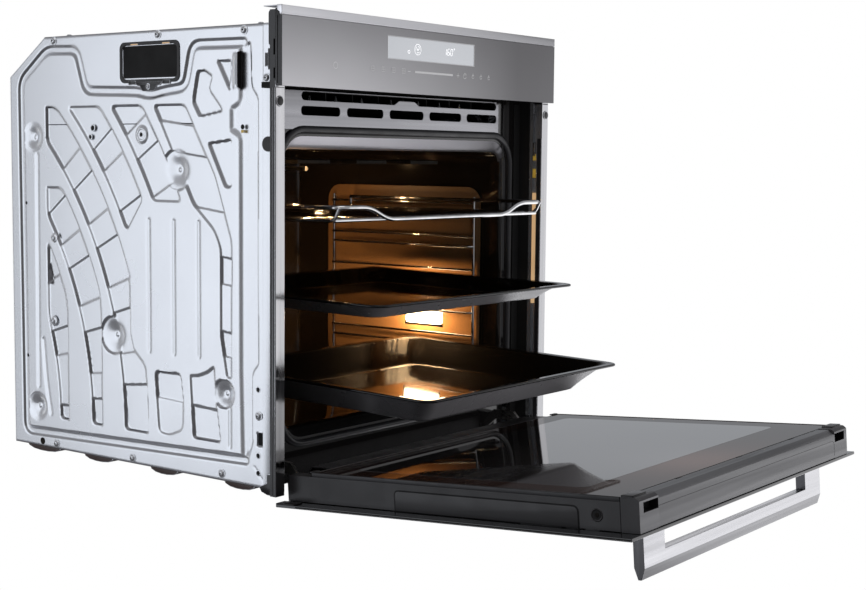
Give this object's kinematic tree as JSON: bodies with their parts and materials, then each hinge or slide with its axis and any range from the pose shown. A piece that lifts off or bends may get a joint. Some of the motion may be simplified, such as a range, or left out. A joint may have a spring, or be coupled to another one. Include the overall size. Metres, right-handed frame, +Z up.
{
  "type": "wall oven",
  "caption": "Built-in electric wall oven with drop-down glazed door, wire shelf and two trays drawn out, touch control panel and galvanised casing.",
  "frame": {"origin": "middle of the flat pressed pad under the base pan, which rests on the cabinet shelf", "axes": "+Z up, -Y out of the front, where the door opens; +X to the right seen from the front; +Y into the cabinet"},
  "size_m": [0.595, 1.0255, 0.6252],
  "materials": {
    "galvanised_steel": "spangled zinc, satin",
    "satin_steel": "brushed",
    "black_enamel": "glossy",
    "liner_enamel": "satin",
    "chrome_wire": "polished",
    "black_glass": "polished",
    "clear_glass": "polished",
    "panel_glass": "satin",
    "lamp_glass": "lit",
    "dark_plastic": "satin",
    "seal_rubber": "matte",
    "mineral_wool": "matte",
    "heater_steel": "oxidised",
    "nickel_steel": "satin",
    "circuit_board": "satin"
  },
  "bodies": {
    "carcass": {"side_panel_left": "galvanised_steel", "side_panel_right": "galvanised_steel", "top_cover": "galvanised_steel", "rear_cover": "galvanised_steel", "lamp_housing": "galvanised_steel", "air_duct": "galvanised_steel", "blower_housing": "galvanised_steel", "blower_tray": "galvanised_steel", "hinge_receiver_left": "galvanised_steel", "hinge_receiver_right": "galvanised_steel", "side_trim_left": "satin_steel", "side_trim_right": "satin_steel", "control_trim": "satin_steel", "base_pan": "black_enamel", "front_frame": "black_enamel", "cavity_muffle": "black_enamel", "fan_baffle": "black_enamel", "side_liner_left": "liner_enamel", "side_liner_right": "liner_enamel", "side_rack_left": "chrome_wire", "side_rack_right": "chrome_wire", "display_window": "clear_glass", "control_fascia": "panel_glass", "lamp_lens": "lamp_glass", "lamp_bulb": "lamp_glass", "control_carrier": "dark_plastic", "terminal_box": "dark_plastic", "door_switch": "dark_plastic", "door_seal": "seal_rubber", "insulation_wrap": "mineral_wool", "grill_element": "heater_steel", "ring_element": "heater_steel", "base_element": "heater_steel", "fan_motor": "nickel_steel", "blower_motor": "nickel_steel", "hinge_arm_left": "nickel_steel", "hinge_arm_right": "nickel_steel", "temperature_probe": "nickel_steel", "control_board": "circuit_board"},
    "door": {"door_outer_glass": "black_glass", "door_inner_glass": "black_glass", "door_middle_glass_front": "clear_glass", "door_middle_glass_rear": "clear_glass", "door_rail_left": "dark_plastic", "door_rail_right": "dark_plastic", "glass_holder_left": "dark_plastic", "glass_holder_right": "dark_plastic", "door_top_profile": "satin_steel", "door_end_cap_left": "dark_plastic", "door_end_cap_right": "dark_plastic", "door_bottom_rail": "dark_plastic", "hinge_body_left": "galvanised_steel", "hinge_body_right": "galvanised_steel", "door_handle": "satin_steel"},
    "shelf": {"wire_shelf": "chrome_wire"},
    "upper_tray_body": {"upper_tray": "black_enamel"},
    "lower_tray_body": {"lower_tray": "black_enamel"},
    "hot_air_fan": {"fan_wheel": "nickel_steel"},
    "cooling_blower": {"blower_wheel": "nickel_steel"},
    "switch_button": {"switch_plunger": "dark_plastic"}
  },
  "joints": [
    {"name": "door_hinge", "type": "hinge", "parent": "carcass", "child": "door", "pos_m": [0, -0.2696, 0.0004], "axis": [-1, 0, 0], "range_deg": [0, 85.6]},
    {"name": "wire_shelf_slide", "type": "slide", "parent": "carcass", "child": "shelf", "axis": [0, 1, 0], "range_m": [0, 0.0835]},
    {"name": "upper_tray_slide", "type": "slide", "parent": "carcass", "child": "upper_tray_body", "axis": [0, 0.9998, 0.018], "range_m": [0, 0.1455]},
    {"name": "lower_tray_slide", "type": "slide", "parent": "carcass", "child": "lower_tray_body", "axis": [0, 0.9996, 0.03], "range_m": [0, 0.2215]},
    {"name": "fan_wheel_spin", "type": "hinge", "parent": "carcass", "child": "hot_air_fan", "pos_m": [0, 0.17, 0.249], "axis": [0, 1, 0], "continuous": true},
    {"name": "blower_wheel_spin", "type": "hinge", "parent": "carcass", "child": "cooling_blower", "pos_m": [0, 0.036, 0.505], "axis": [1, 0, 0], "continuous": true},
    {"name": "switch_plunger_press", "type": "slide", "parent": "carcass", "child": "switch_button", "axis": [0, 1, 0], "range_m": [0, 0.003], "stiffness_N_per_m": 150}
  ],
  "couplings": [
    {"joint": "wire_shelf_slide", "follows": "door_hinge", "m_per_rad": 0.05556},
    {"joint": "upper_tray_slide", "follows": "door_hinge", "m_per_rad": 0.09705},
    {"joint": "lower_tray_slide", "follows": "door_hinge", "m_per_rad": 0.14792}
  ]
}
